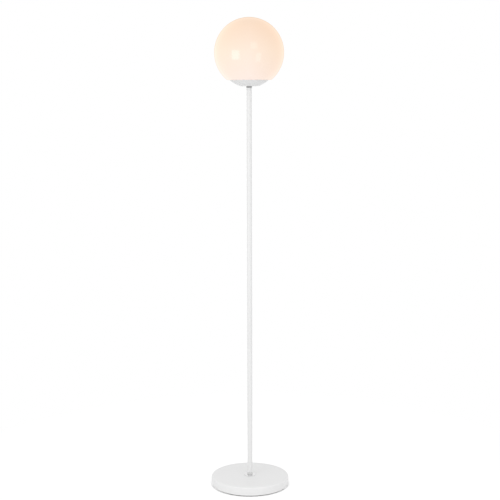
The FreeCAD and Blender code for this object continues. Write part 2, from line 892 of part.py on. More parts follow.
def make_bulb_housing():
    """Plastic body of the bulb: a skirt in the cap, a collar on it, and a flare up to the dome."""
    cap_top = above_tip(bulb_cap_length)
    collar_top = cap_top + bulb_collar_height
    seam_level = above_tip(bulb_seam)
    skirt_radius = bulb_cap_radius - bulb_cap_wall
    skirt_bore = skirt_radius - bulb_wall
    skirt_bottom = cap_top - bulb_skirt_length
    seam_bore = seam_radius() - bulb_wall
    ledge_bore = seam_bore - bulb_board_ledge
    ledge_top = seam_level - bulb_board_thickness
    ledge_bottom = ledge_top - bulb_board_ledge
    inner_top = flare_radius(ledge_bottom, bulb_wall)
    inner_bottom = flare_radius(collar_top, bulb_wall)
    return turned(
        [
            line((skirt_bore, skirt_bottom), (skirt_radius, skirt_bottom)),
            line((skirt_radius, skirt_bottom), (skirt_radius, cap_top)),
            line((skirt_radius, cap_top), (bulb_collar_radius, cap_top)),
            line((bulb_collar_radius, cap_top), (bulb_collar_radius, collar_top)),
            flare_arc(0, collar_top, seam_level),
            line((seam_radius(), seam_level), (seam_bore, seam_level)),
            line((seam_bore, seam_level), (seam_bore, ledge_top)),
            line((seam_bore, ledge_top), (ledge_bore, ledge_top)),
            line((ledge_bore, ledge_top), (inner_top, ledge_bottom)),
            flare_arc(bulb_wall, ledge_bottom, collar_top),
            line((inner_bottom, collar_top), (skirt_bore, cap_top)),
            line((skirt_bore, cap_top), (skirt_bore, skirt_bottom)),
        ]
    )


def make_bulb_led_board():
    seam_level = above_tip(bulb_seam)
    radius = seam_radius() - bulb_wall - hole_gap
    return rod(radius, seam_level - bulb_board_thickness, seam_level)


def make_bulb_dome():
    centre = dome_centre()
    inner = bulb_radius - bulb_wall
    seam_level = above_tip(bulb_seam)
    outer_seam = (seam_radius(), seam_level)
    inner_seam = (math.sqrt(inner**2 - (centre[1] - seam_level) ** 2), seam_level)
    return turned(
        [
            line(inner_seam, outer_seam),
            arc(centre, bulb_radius, angle_at(centre, outer_seam), 90),
            line((0, centre[1] + bulb_radius), (0, centre[1] + inner)),
            arc(centre, inner, 90, angle_at(centre, inner_seam)),
        ]
    )


# ---- Wires ----


def make_wire(side):
    """One insulated wire from the terminal block, up through the pole, to the lampholder's insert."""
    in_pole = side * wire_spacing / 2
    at_block = side * block_pitch / 2
    at_holder = side * holder_wire_place
    block_face = block_distance - block_length / 2
    drop_start = block_face - 2 * wire_bend_radius
    drop_end = 2 * wire_bend_radius
    jog_bottom = nipple_top + wire_radius + wire_jog_reach
    jog_top = insert_bottom - wire_radius - wire_jog_reach
    jog_turn = math.atan2(abs(at_holder - in_pole), jog_top - jog_bottom)
    jog_bend_radius = wire_jog_reach / math.tan(jog_turn / 2)
    points = [
        FreeCAD.Vector(at_block, block_face + wire_grip, block_axis),
        FreeCAD.Vector(at_block, drop_start, block_axis),
        FreeCAD.Vector(in_pole, drop_end, wire_run),
        FreeCAD.Vector(in_pole, 0, wire_run),
        FreeCAD.Vector(in_pole, 0, jog_bottom),
        FreeCAD.Vector(at_holder, 0, jog_top),
        FreeCAD.Vector(at_holder, 0, insert_bottom + wire_grip),
    ]
    radii = [wire_bend_radius] * 3 + [jog_bend_radius] * 2
    path = rounded_path(points, radii)
    first = path.Edges[0]
    start = first.valueAt(first.FirstParameter)
    section = Part.Wire(Part.makeCircle(wire_radius, start, first.tangentAt(first.FirstParameter)))
    wire = path.makePipeShell([section], True, False)
    share = wire.Volume / (math.pi * wire_radius**2 * path.Length)
    bends = ", ".join(f"{radius:.2f}" for radius in radii)
    print(f"wire: {path.Length:.0f} mm, bends {bends} mm, volume {share:.4f} of its section times its length")
    return wire


# ---- All pieces, by name ----

PIECES = {
    "foot_pad": make_foot_pad(),
    "bottom_plate": make_bottom_plate(),
    "bottom_plate_screws": make_bottom_plate_screws(),
    "base_weight": make_base_weight(),
    "base_cover": make_base_cover(),
    "cable_gland": make_cable_gland(),
    "terminal_block": make_terminal_block(),
    "terminal_clamps": make_terminal_clamps(),
    "terminal_screws": make_terminal_screws(),
    "terminal_block_screw": make_terminal_block_screw(),
    "base_rod": hollow_rod(rod_bottom, pole_bottom + rod_in_pole),
    "under_nut": hex_nut(thin_nut_flats, nut_bore, under_nut_bottom, under_lock_bottom),
    "under_lock_washer": tube(rod_hole, lock_washer_radius, under_lock_bottom, under_washer_bottom),
    "under_washer": tube(rod_hole, washer_radius, under_washer_bottom, web_bottom),
    "foot_washer": make_foot_washer(),
    "foot_nut": hex_nut(pole_nut_flats, nut_bore, foot_nut_bottom, pole_bottom),
    "pole_tube_lower": make_pole_tube(0),
    "pole_tube_middle": make_pole_tube(1),
    "pole_tube_upper": make_pole_tube(2),
    "pole_foot_insert": insert(pole_bottom),
    "lower_joint_inserts": make_joint_inserts(1),
    "lower_joint_stud": make_joint_stud(1),
    "upper_joint_inserts": make_joint_inserts(2),
    "upper_joint_stud": make_joint_stud(2),
    "pole_top_insert": insert(pole_top - insert_length),
    "head_nipple": hollow_rod(pole_top - rod_in_pole, nipple_top),
    "collar_nut": hex_nut(pole_nut_flats, nut_bore, pole_top, cup_floor),
    "gallery_cup": make_gallery_cup(),
    "spring_carrier": make_spring_carrier(),
    "globe_springs": make_globe_springs(),
    "spring_rivets": make_spring_rivets(),
    "cup_lock_washer": tube(rod_hole, lock_washer_radius, cup_lock_bottom, cup_nut_bottom),
    "cup_nut": hex_nut(thin_nut_flats, nut_bore, cup_nut_bottom, holder_bottom),
    "rim_gasket": make_rim_gasket(),
    "globe": make_globe(),
    "lampholder_cap": make_lampholder_cap(),
    "lampholder_grub_screw": make_lampholder_grub_screw(),
    "lampholder_insert": make_lampholder_insert(),
    "holder_terminal_screws": make_holder_terminal_screws(),
    "lampholder_shell": make_lampholder_shell(),
    "screw_shell": make_screw_shell(),
    "centre_contact": make_centre_contact(),
    "bulb_tip": make_bulb_tip(),
    "bulb_insulator": make_bulb_insulator(),
    "bulb_cap": make_bulb_cap(),
    "bulb_housing": make_bulb_housing(),
    "bulb_led_board": make_bulb_led_board(),
    "bulb_dome": make_bulb_dome(),
    "live_wire": make_wire(-1),
    "neutral_wire": make_wire(1),
}

os.makedirs("parts", exist_ok=True)
for name, shape in PIECES.items():
    if not shape.isValid() or any(solid.Volume <= 0 for solid in shape.Solids) or not shape.Solids:
        print(f"{name}: not a valid solid")
    shape.exportStep(os.path.join("parts", name + ".step"))
print(f"{len(PIECES)} pieces, {globe_centre + globe_radius:.1f} mm tall")
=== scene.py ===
import math

import bmesh
import bpy
from mathutils import Matrix, Vector


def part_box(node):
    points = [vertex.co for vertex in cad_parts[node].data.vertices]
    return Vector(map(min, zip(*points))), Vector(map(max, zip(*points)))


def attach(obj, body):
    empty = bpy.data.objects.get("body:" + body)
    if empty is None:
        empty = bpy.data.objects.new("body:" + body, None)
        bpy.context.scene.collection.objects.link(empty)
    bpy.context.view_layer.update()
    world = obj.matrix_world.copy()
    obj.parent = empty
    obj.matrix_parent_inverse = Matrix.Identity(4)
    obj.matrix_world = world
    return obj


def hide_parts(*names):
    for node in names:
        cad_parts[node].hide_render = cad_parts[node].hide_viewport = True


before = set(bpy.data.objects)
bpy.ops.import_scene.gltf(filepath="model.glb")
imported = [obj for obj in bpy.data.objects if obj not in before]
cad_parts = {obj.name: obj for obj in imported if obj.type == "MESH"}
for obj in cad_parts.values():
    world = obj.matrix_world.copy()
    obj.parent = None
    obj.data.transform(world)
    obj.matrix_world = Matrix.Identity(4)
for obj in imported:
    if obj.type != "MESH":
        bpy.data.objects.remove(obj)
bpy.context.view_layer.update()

# Lengths are in metres. The upright axis of the lamp is x = 0, y = 0, and the floor is z = 0.
MM = 0.001
WHITE = (1.0, 1.0, 1.0, 1.0)

# lengths closer than this are taken as equal
TINY = 1e-6

# a rounded corner: its steps, the most it takes of an edge beside it, and from where it isn't a corner
EASE_STEPS = 3
EASE_SHARE = 0.4
NEARLY_STRAIGHT = math.radians(160)

# faces that meet at a greater angle than this are shaded with a sharp edge
SHARP_ANGLE = math.radians(38)

# which finish each CAD node takes
NODES_OF = {
    "foam": ["foot_pad"],
    "plate_steel": ["bottom_plate"],
    "zinc_steel": [
        "bottom_plate_screws", "terminal_screws", "terminal_block_screw", "base_rod", "under_nut",
        "under_lock_washer", "under_washer", "pole_foot_insert", "lower_joint_inserts",
        "lower_joint_stud", "upper_joint_inserts", "upper_joint_stud", "pole_top_insert",
        "head_nipple", "spring_carrier", "spring_rivets", "cup_lock_washer", "cup_nut",
        "lampholder_grub_screw",
    ],
    "iron": ["base_weight"],
    "white_paint": ["base_cover"],
    "pole_white_painted_shade": ["pole_tube_lower", "pole_tube_middle", "pole_tube_upper"],
    "cup_paint": ["gallery_cup"],
    "gland_plastic": ["cable_gland"],
    "block_plastic": ["terminal_block"],
    "brass": ["terminal_clamps", "holder_terminal_screws", "centre_contact"],
    "chrome": ["foot_washer", "foot_nut"],
    "dark_nickel": ["collar_nut"],
    "spring_steel": ["globe_springs"],
    "silicone": ["rim_gasket"],
    "opal_glass": ["globe"],
    "holder_plastic": ["lampholder_cap", "lampholder_shell"],
    "porcelain": ["lampholder_insert"],
    "shell_metal": ["screw_shell"],
    "solder": ["bulb_tip"],
    "insulator_plastic": ["bulb_insulator"],
    "cap_metal": ["bulb_cap"],
    "bulb_plastic": ["bulb_housing"],
    "board_aluminium": ["bulb_led_board"],
    "frosted_cover": ["bulb_dome"],
    "live_sleeve": ["live_wire"],
    "neutral_sleeve": ["neutral_wire"],
}

# how many sides each turned piece has
SIDES = {
    "base_cover": 192, "foot_pad": 160, "foot_washer": 96, "foot_nut": 144, "bottom_plate_screws": 40,
    "pole_tube_lower": 64, "pole_tube_middle": 64, "pole_tube_upper": 64, "collar_nut": 144,
    "gallery_cup": 144, "globe": 192, "lampholder_shell": 96, "bulb_cap": 96,
}


# ---------------------------------------------------------------- shader helpers

def add(tree, kind, values=None, **settings):
    """A new node. Each named socket in values is set to a number or linked to another socket."""
    made = tree.nodes.new(kind)
    for key, value in settings.items():
        setattr(made, key, value)
    for key, value in (values or {}).items():
        socket = made.inputs[key]
        if isinstance(value, bpy.types.NodeSocket):
            tree.links.new(value, socket)
        else:
            socket.default_value = value
    return made


def maths(tree, operation, first, second=0.0):
    return add(tree, "ShaderNodeMath", {0: first, 1: second}, operation=operation).outputs[0]


def spread(tree, value, low, high):
    """The value, from 0 to 1, laid out between low and high."""
    values = {"Value": value, "To Min": low, "To Max": high}
    return add(tree, "ShaderNodeMapRange", values).outputs["Result"]


def blend(tree, amount, first, second):
    mix = add(tree, "ShaderNodeMix", {0: amount, 6: first, 7: second}, data_type="RGBA")
    return mix.outputs[2]


def new_group(name, inputs, outputs):
    """A shader group with named number inputs after its Place, and the nodes at its two ends."""
    tree = bpy.data.node_groups.new(name, "ShaderNodeTree")
    tree.interface.new_socket("Place", in_out="INPUT", socket_type="NodeSocketVector")
    for socket_name, default in inputs.items():
        socket = tree.interface.new_socket(socket_name, in_out="INPUT", socket_type="NodeSocketFloat")
        socket.default_value = default
    for socket_name in outputs:
        tree.interface.new_socket(socket_name, in_out="OUTPUT", socket_type="NodeSocketFloat")
    return tree, add(tree, "NodeGroupInput").outputs, add(tree, "NodeGroupOutput").inputs


def grain_group():
    """Small bumps of an even size, such as the orange peel of paint or the pores of a casting."""
    tree, given, result = new_group(
        "fine grain", {"Size": 0.001, "Depth": 0.00001, "Detail": 2.0}, ["Tone", "Height"]
    )
    finer = maths(tree, "DIVIDE", 1.0, given["Size"])
    place = add(tree, "ShaderNodeVectorMath", {0: given["Place"], "Scale": finer}, operation="SCALE")
    noise = add(
        tree, "ShaderNodeTexNoise",
        {"Vector": place.outputs[0], "Scale": 1.0, "Detail": given["Detail"]},
    )
    tree.links.new(noise.outputs[0], result["Tone"])
    tree.links.new(maths(tree, "MULTIPLY", noise.outputs[0], given["Depth"]), result["Height"])
    return tree


# how fast a turned mark changes on its way round
MARK_CHANGE = 1.5


def turned_group():
    """Fine lines that run round the upright axis, as a lathe or a polishing belt leaves them."""
    tree, given, result = new_group(
        "turned marks", {"Spacing": 0.0005, "Depth": 0.000002}, ["Tone", "Height"]
    )
    parts = add(tree, "ShaderNodeSeparateXYZ", {0: given["Place"]}).outputs
    squares = maths(
        tree, "ADD", maths(tree, "MULTIPLY", parts[0], parts[0]), maths(tree, "MULTIPLY", parts[1], parts[1])
    )
    radius = maths(tree, "DIVIDE", maths(tree, "SQRT", squares), given["Spacing"])
    height = maths(tree, "DIVIDE", parts[2], given["Spacing"])
    turn = maths(tree, "MULTIPLY", maths(tree, "ARCTAN2", parts[1], parts[0]), MARK_CHANGE)
    place = add(tree, "ShaderNodeCombineXYZ", {0: radius, 1: height, 2: turn}).outputs[0]
    noise = add(tree, "ShaderNodeTexNoise", {"Vector": place, "Scale": 1.0, "Detail": 3.0})
    tree.links.new(noise.outputs[0], result["Tone"])
    tree.links.new(maths(tree, "MULTIPLY", noise.outputs[0], given["Depth"]), result["Height"])
    return tree


GROUPS = {"grain": grain_group(), "turned": turned_group()}


def surface(tree, kind, place, **values):
    """One of the shader groups at work in a material."""
    made = add(tree, "ShaderNodeGroup", node_tree=GROUPS[kind])
    tree.links.new(place, made.inputs["Place"])
    for key, value in values.items():
        made.inputs[key].default_value = value
    return made.outputs


def finish(name, colour, dulled, rough, metal=0.0, peel=None, marks=None, stain=0.04,
           rough_range=0.04, **sockets):
    """A material with real-scale detail. colour turns to dulled in soft patches of the size stain.
    peel and marks are the (size, depth) of the small relief."""
    material = bpy.data.materials.new(name)
    material.use_nodes = True
    tree = material.node_tree
    tree.nodes.clear()
    place = add(tree, "ShaderNodeTexCoord").outputs["Object"]
    patches = surface(tree, "grain", place, Size=stain, Depth=0.0, Detail=4.0)["Tone"]
    reliefs = []
    if peel:
        reliefs.append(surface(tree, "grain", place, Size=peel[0], Depth=peel[1]))
    if marks:
        reliefs.append(surface(tree, "turned", place, Spacing=marks[0], Depth=marks[1]))
    height = reliefs[0]["Height"]
    for relief in reliefs[1:]:
        height = maths(tree, "ADD", height, relief["Height"])
    bump = add(tree, "ShaderNodeBump", {"Strength": 1.0, "Distance": 1.0, "Height": height})
    gloss = spread(tree, reliefs[0]["Tone"], rough - rough_range, rough + rough_range)
    values = {
        "Base Color": blend(tree, patches, (*colour, 1.0), (*dulled, 1.0)),
        "Roughness": gloss,
        "Metallic": metal,
        "Normal": bump.outputs[0],
    }
    shader = add(tree, "ShaderNodeBsdfPrincipled", values)
    for key, value in sockets.items():
        shader.inputs[key.replace("_", " ")].default_value = value
    output = add(tree, "ShaderNodeOutputMaterial")
    tree.links.new(shader.outputs[0], output.inputs["Surface"])
    return material


def grey(value, tint=(1.0, 1.0, 1.0)):
    return tuple(value * part for part in tint)


FINISHES = {
    "foam": finish(
        "foam", grey(0.035), grey(0.06), 0.9, peel=(1.1 * MM, 0.25 * MM), stain=0.02, rough_range=0.05
    ),
    "plate_steel": finish(
        "plate_steel", grey(0.78), grey(0.70), 0.42, peel=(0.7 * MM, 0.006 * MM), stain=0.06
    ),
    "zinc_steel": finish(
        "zinc_steel", grey(0.66, (0.98, 1.0, 1.03)), grey(0.52), 0.32, 1.0,
        marks=(0.25 * MM, 0.004 * MM), peel=(0.4 * MM, 0.003 * MM), stain=0.008
    ),
    "iron": finish(
        "iron", grey(0.075), grey(0.13, (1.0, 0.9, 0.8)), 0.7, 0.6, peel=(1.6 * MM, 0.12 * MM), stain=0.03
    ),
    "white_paint": finish(
        "white_paint", grey(0.84), grey(0.82), 0.44, peel=(0.9 * MM, 0.0035 * MM), stain=0.12,
        Coat_Weight=0.12, Coat_Roughness=0.3
    ),
    # painted shade: the pole's copy of the white paint, darker than the base's to stand for the shade on the
    # thin pole
    "pole_white_painted_shade": finish(
        "pole_white_painted_shade", grey(0.80), grey(0.78), 0.44, peel=(0.9 * MM, 0.0035 * MM), stain=0.12,
        Coat_Weight=0.12, Coat_Roughness=0.3
    ),
    # painted shade: the cup's white paint, darker than the base's to stand for the shade on its
    # downward-facing side
    "cup_paint": finish(
        "cup_paint", grey(0.755), grey(0.735), 0.34, peel=(0.9 * MM, 0.0035 * MM), stain=0.05,
        Coat_Weight=0.25, Coat_Roughness=0.22
    ),
    "gland_plastic": finish(
        "gland_plastic", grey(0.76), grey(0.71), 0.5, peel=(0.35 * MM, 0.008 * MM), stain=0.01
    ),
    "block_plastic": finish(
        "block_plastic", (0.70, 0.69, 0.62), (0.62, 0.61, 0.54), 0.45, peel=(0.5 * MM, 0.01 * MM),
        stain=0.01, Subsurface_Weight=0.1
    ),
    "brass": finish(
        "brass", (0.66, 0.45, 0.15), (0.50, 0.33, 0.12), 0.3, 1.0, peel=(0.3 * MM, 0.004 * MM), stain=0.006
    ),
    "chrome": finish(
        "chrome", grey(0.80), grey(0.74), 0.1, 1.0, marks=(0.3 * MM, 0.0006 * MM), stain=0.01
    ),
    # the collar nut's metal is a dark grey, far darker than the chrome of the foot nut
    "dark_nickel": finish(
        "dark_nickel", grey(0.36), grey(0.31), 0.22, 1.0, marks=(0.3 * MM, 0.0012 * MM), stain=0.01
    ),
    "spring_steel": finish(
        "spring_steel", grey(0.56), grey(0.42, (1.0, 0.97, 0.9)), 0.25, 1.0,
        peel=(0.3 * MM, 0.003 * MM), stain=0.01
    ),
    "silicone": finish(
        "silicone", grey(0.74), grey(0.68), 0.55, peel=(0.5 * MM, 0.01 * MM), stain=0.02,
        Subsurface_Weight=0.2
    ),
    "holder_plastic": finish(
        "holder_plastic", grey(0.80), grey(0.77), 0.28, peel=(0.4 * MM, 0.004 * MM), stain=0.02
    ),
    "porcelain": finish(
        "porcelain", (0.80, 0.78, 0.72), (0.74, 0.72, 0.66), 0.16, peel=(1.2 * MM, 0.012 * MM),
        stain=0.01, Coat_Weight=0.6
    ),
    "shell_metal": finish(
        "shell_metal", (0.58, 0.55, 0.46), (0.48, 0.44, 0.36), 0.25, 1.0, marks=(0.6 * MM, 0.01 * MM),
        stain=0.008
    ),
    "solder": finish(
        "solder", grey(0.52), grey(0.42), 0.35, 1.0, peel=(0.8 * MM, 0.03 * MM), stain=0.004
    ),
    "insulator_plastic": finish(
        "insulator_plastic", grey(0.012), grey(0.02), 0.15, peel=(0.5 * MM, 0.006 * MM), stain=0.006
    ),
    "cap_metal": finish(
        "cap_metal", grey(0.60), grey(0.52), 0.24, 1.0, marks=(0.4 * MM, 0.003 * MM), stain=0.008
    ),
    "bulb_plastic": finish(
        "bulb_plastic", grey(0.80), grey(0.77), 0.3, peel=(0.6 * MM, 0.005 * MM), stain=0.02
    ),
    "board_aluminium": finish(
        "board_aluminium", grey(0.78), grey(0.70), 0.35, peel=(0.4 * MM, 0.006 * MM), stain=0.01
    ),
    "frosted_cover": finish(
        "frosted_cover", (0.42, 0.40, 0.37), (0.40, 0.38, 0.35), 0.5, peel=(0.25 * MM, 0.01 * MM),
        stain=0.02, Emission_Color=(1.0, 0.80, 0.55, 1.0), Emission_Strength=0.55
    ),
    "live_sleeve": finish(
        "live_sleeve", (0.095, 0.033, 0.013), (0.08, 0.028, 0.011), 0.4, peel=(0.4 * MM, 0.01 * MM),
        stain=0.02
    ),
    "neutral_sleeve": finish(
        "neutral_sleeve", (0.02, 0.07, 0.26), (0.018, 0.06, 0.22), 0.4, peel=(0.4 * MM, 0.01 * MM),
        stain=0.02
    ),
}

# ---------------------------------------------------------------- the lit globe's glass

GLOBE_RADIUS = 108 * MM
globe_low, globe_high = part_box("globe")
GLOBE_CENTRE = globe_high.z - GLOBE_RADIUS

# painted light: how the bulb's glow, painted on as colour, goes from the globe's bottom to its top, and how
# it is tinted paler on the left than on the right
BULB_LIGHT_PAINTED_STOPS = [
    (0.0, (0.70, 0.57, 0.52)),
    (0.5, (0.71, 0.555, 0.44)),
    (0.85, (0.70, 0.49, 0.34)),
    (1.0, (0.62, 0.42, 0.27)),
]
SIDE_LIGHT_PAINTED_STOPS = [
    (0.0, (1.0, 1.0, 0.93)),
    (0.5, (1.0, 1.0, 1.0)),
    (1.0, (0.98, 0.90, 0.78)),
]

# the gloss fades out where the glass is seen edge on
FULL_GLOSS = 0.5
GLOSS_FADE_START = 0.55
GLOSS_FADE_END = 0.85


def ramp(tree, amount, stops):
    """A colour ramp through (position, colour) stops."""
    made = add(tree, "ShaderNodeValToRGB", {0: amount})
    elements = made.color_ramp.elements
    while len(elements) < len(stops):
        elements.new(0.5)
    for element, (position, colour) in zip(elements, stops):
        element.position = position
        element.color = (*colour, 1.0)
    return made.outputs[0]


def opal_glass():
    """White opal glass, glossy, with the bulb's warm glow painted on as emission: a painted light, paler low
    down and on the left.
    """
    material = finish(
        "opal_glass", (0.26, 0.25, 0.24), (0.25, 0.24, 0.23), 0.14, peel=(14 * MM, 0.02 * MM),
        stain=0.08, rough_range=0.02, IOR=1.5
    )
    tree = material.node_tree
    shader = next(node for node in tree.nodes if node.type == "BSDF_PRINCIPLED")
    place = add(tree, "ShaderNodeTexCoord").outputs["Object"]
    parts = add(tree, "ShaderNodeSeparateXYZ", {0: place}).outputs
    upward = maths(tree, "DIVIDE", maths(tree, "SUBTRACT", parts[2], GLOBE_CENTRE), 2 * GLOBE_RADIUS)
    sideways = maths(tree, "DIVIDE", parts[0], 2 * GLOBE_RADIUS)
    # painted light: the glow and its paler left side are painted into the emission colour by height and by
    # side
    glow = ramp(tree, maths(tree, "ADD", upward, 0.5), BULB_LIGHT_PAINTED_STOPS)
    tint = ramp(tree, maths(tree, "ADD", sideways, 0.5), SIDE_LIGHT_PAINTED_STOPS)
    painted_glow_colour = add(tree, "ShaderNodeMix", {0: 1.0, 6: glow, 7: tint}, data_type="RGBA", blend_type="MULTIPLY")
    tree.links.new(painted_glow_colour.outputs[2], shader.inputs["Emission Color"])
    shader.inputs["Emission Strength"].default_value = 1.0
    edge_on = add(tree, "ShaderNodeLayerWeight", {"Blend": 0.5}).outputs["Facing"]
    values = {
        "Value": edge_on, "From Min": GLOSS_FADE_START, "From Max": GLOSS_FADE_END,
        "To Min": FULL_GLOSS, "To Max": 0.0,
    }
    gloss = add(tree, "ShaderNodeMapRange", values).outputs["Result"]
    tree.links.new(gloss, shader.inputs["Specular IOR Level"])
    return material


FINISHES["opal_glass"] = opal_glass()


# ---------------------------------------------------------------- piece helpers

def eased(outline, width):
    """The closed outline with its corners off the axis rounded by short curves."""
    rounded = []
    for i, corner in enumerate(outline):
        here = Vector(corner)
        before = Vector(outline[i - 1]) - here
        after = Vector(outline[(i + 1) % len(outline)]) - here
        if here.x < TINY or before.angle(after) > NEARLY_STRAIGHT:
            rounded.append(here)
            continue
        start = before.normalized() * min(width, EASE_SHARE * before.length)
        end = after.normalized() * min(width, EASE_SHARE * after.length)
        for step in range(EASE_STEPS + 1):
            along = step / EASE_STEPS
            rounded.append(here + start * (1 - along) ** 2 + end * along ** 2)
    return rounded


def arc(radius, centre_height, start, end, steps):
    """Points (radius, height) of a circle about a point of the axis. Angles are from straight down."""
    points = []
    for step in range(steps + 1):
        angle = start + (end - start) * step / steps
        points.append((radius * math.sin(angle), centre_height - radius * math.cos(angle)))
    return points


def lathe(outline, sides, reach=None):
    """A closed bmesh turned round the upright axis. reach, if given, says where a point of the outline
    lies at an angle, which makes a nut of a washer."""
    made = bmesh.new()
    rings = []
    for radius, height in outline:
        if radius < TINY:
            rings.append([made.verts.new((0.0, 0.0, height))])
            continue
        ring = []
        for i in range(sides):
            angle = 2 * math.pi * i / sides
            place = (radius, height)
            if reach:
                place = reach(angle, radius, height)
            ring.append(made.verts.new((place[0] * math.cos(angle), place[0] * math.sin(angle), place[1])))
        rings.append(ring)
    for ring, following in zip(rings, rings[1:] + rings[:1]):
        for i in range(sides):
            corners = []
            for vert in (
                ring[i % len(ring)], ring[(i + 1) % len(ring)],
                following[(i + 1) % len(following)], following[i % len(following)],
            ):
                if vert not in corners:
                    corners.append(vert)
            if len(corners) > 2:
                made.faces.new(corners)
    bmesh.ops.recalc_face_normals(made, faces=made.faces)
    return made


def link(name, mesh):
    made = bpy.data.objects.new(name, mesh)
    bpy.context.scene.collection.objects.link(made)
    return made


def mesh_of(name, built):
    mesh = bpy.data.meshes.new(name)
    built.to_mesh(mesh)
    built.free()
    return mesh


def bake(piece):
    """Works the piece's modifiers into a mesh of its own."""
    bpy.context.view_layer.update()
    depsgraph = bpy.context.evaluated_depsgraph_get()
    mesh = bpy.data.meshes.new_from_object(piece.evaluated_get(depsgraph))
    piece.modifiers.clear()
    piece.data = mesh


def dress(piece, slot, body, nodes=()):
    """Gives a piece its finish and smooth shading, and says what it rides on and stands for."""
    piece.data.materials.clear()
    piece.data.materials.append(FINISHES[slot])
    piece.data.shade_smooth()
    piece.data.set_sharp_from_angle(angle=SHARP_ANGLE)
    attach(piece, body)
    if nodes:
        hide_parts(*nodes)
    return piece


def band(inner, outer, low, high):
    """The outline of a plain ring."""
    return [(inner, low), (outer, low), (outer, high), (inner, high)]


def turned(node, slot, outline, body="stand"):
    """A turned piece that stands for the CAD node."""
    piece = link(node + "_fine", mesh_of(node, lathe(outline, SIDES[node])))
    return dress(piece, slot, body, [node])


def remove(piece):
    bpy.data.objects.remove(piece, do_unlink=True)


def cut(piece, cutter):
    """Takes the cutter's shape out of the piece."""
    modifier = piece.modifiers.new("cut", "BOOLEAN")
    modifier.operation = "DIFFERENCE"
    modifier.solver = "EXACT"
    modifier.object = cutter
    bake(piece)
    remove(cutter)


# a nut's chamfers start inside its flats, at this share of their distance, and slope at this angle
CHAMFER_START = 0.97
CHAMFER_ANGLE = math.radians(30)


def hexagon(flat, chamfer_start, low, high):
    """Where a hex nut's outline lies at an angle: on its flats, cut by the two cones of its chamfers."""
    middle = 0.5 * (low + high)
    slope = math.tan(CHAMFER_ANGLE)

    def reach(angle, radius, height):
        if radius < chamfer_start - TINY:
            return radius, height
        # from_flat is the angle from the middle of the nearest flat
        from_flat = (angle + math.pi / 6) % (math.pi / 3) - math.pi / 6
        edge = flat / math.cos(from_flat)
        if radius < chamfer_start + TINY:
            return chamfer_start, height
        drop = (edge - chamfer_start) * slope
        return edge, height + drop if height < middle else height - drop

    return reach


def nut(node, slot, bore):
    """A hex nut with its two chamfers, in the CAD node's box."""
    low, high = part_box(node)
    flat = min(high.x, high.y)
    start = CHAMFER_START * flat
    outline = [
        (bore, low.z), (start, low.z), (flat, low.z), (flat, high.z), (start, high.z), (bore, high.z),
    ]
    made = lathe(outline, SIDES[node], hexagon(flat, start, low.z, high.z))
    # the box is wider along Y where two of the flats face along X
    turn = 0.0 if high.y > high.x else math.pi / 6
    made.transform(Matrix.Rotation(turn, 4, "Z"))
    piece = link(node + "_fine", mesh_of(node, made))
    dress(piece, slot, "stand", [node])


# ---------------------------------------------------------------- geometry nodes

def geometry_tree(name, inputs):
    """A Geometry Nodes tree with named inputs, given as {name: socket type}."""
    tree = bpy.data.node_groups.new(name, "GeometryNodeTree")
    tree.interface.new_socket("Geometry", in_out="OUTPUT", socket_type="NodeSocketGeometry")
    for socket_name, kind in inputs.items():
        tree.interface.new_socket(socket_name, in_out="INPUT", socket_type=kind)
    return tree, add(tree, "NodeGroupInput").outputs, add(tree, "NodeGroupOutput").inputs


def upright(tree, size):
    """A vector of this size along the upright axis, for a lift or a turn."""
    return add(tree, "ShaderNodeCombineXYZ", {2: size}).outputs[0]


def close_tree(tree, given, result, geometry):
    """Ends a tree with the geometry as faces of its own, in the given material."""
    real = add(tree, "GeometryNodeRealizeInstances", {"Geometry": geometry})
    painted = add(tree, "GeometryNodeSetMaterial", {
        "Geometry": real.outputs[0], "Material": given["Material"],
    })
    tree.links.new(painted.outputs[0], result[0])


def ring_tree():
    """Copies of a source piece set round the upright axis, each turned to face outward."""
    tree, given, result = geometry_tree("ring of pieces", {
        "Count": "NodeSocketInt", "Radius": "NodeSocketFloat", "Height": "NodeSocketFloat",
        "First angle": "NodeSocketFloat", "Source": "NodeSocketObject", "Material": "NodeSocketMaterial",
    })
    circle = add(tree, "GeometryNodeMeshCircle", {"Vertices": given["Count"], "Radius": given["Radius"]})
    source = add(tree, "GeometryNodeObjectInfo", {"Object": given["Source"]})
    share = maths(tree, "DIVIDE", 2 * math.pi, given["Count"])
    index = add(tree, "GeometryNodeInputIndex").outputs[0]
    facing = upright(tree, maths(tree, "MULTIPLY", index, share))
    turn = add(tree, "FunctionNodeEulerToRotation", {0: facing}).outputs[0]
    copies = add(tree, "GeometryNodeInstanceOnPoints", {
        "Points": circle.outputs[0], "Instance": source.outputs["Geometry"], "Rotation": turn,
    })
    placed = add(tree, "GeometryNodeTransform", {
        "Geometry": copies.outputs[0], "Translation": upright(tree, given["Height"]),
        "Rotation": upright(tree, given["First angle"]),
    })
    close_tree(tree, given, result, placed.outputs[0])
    return tree


# how finely the thread's turns and its ridge are drawn
TURN_POINTS = 64
RIDGE_SIDES = 10


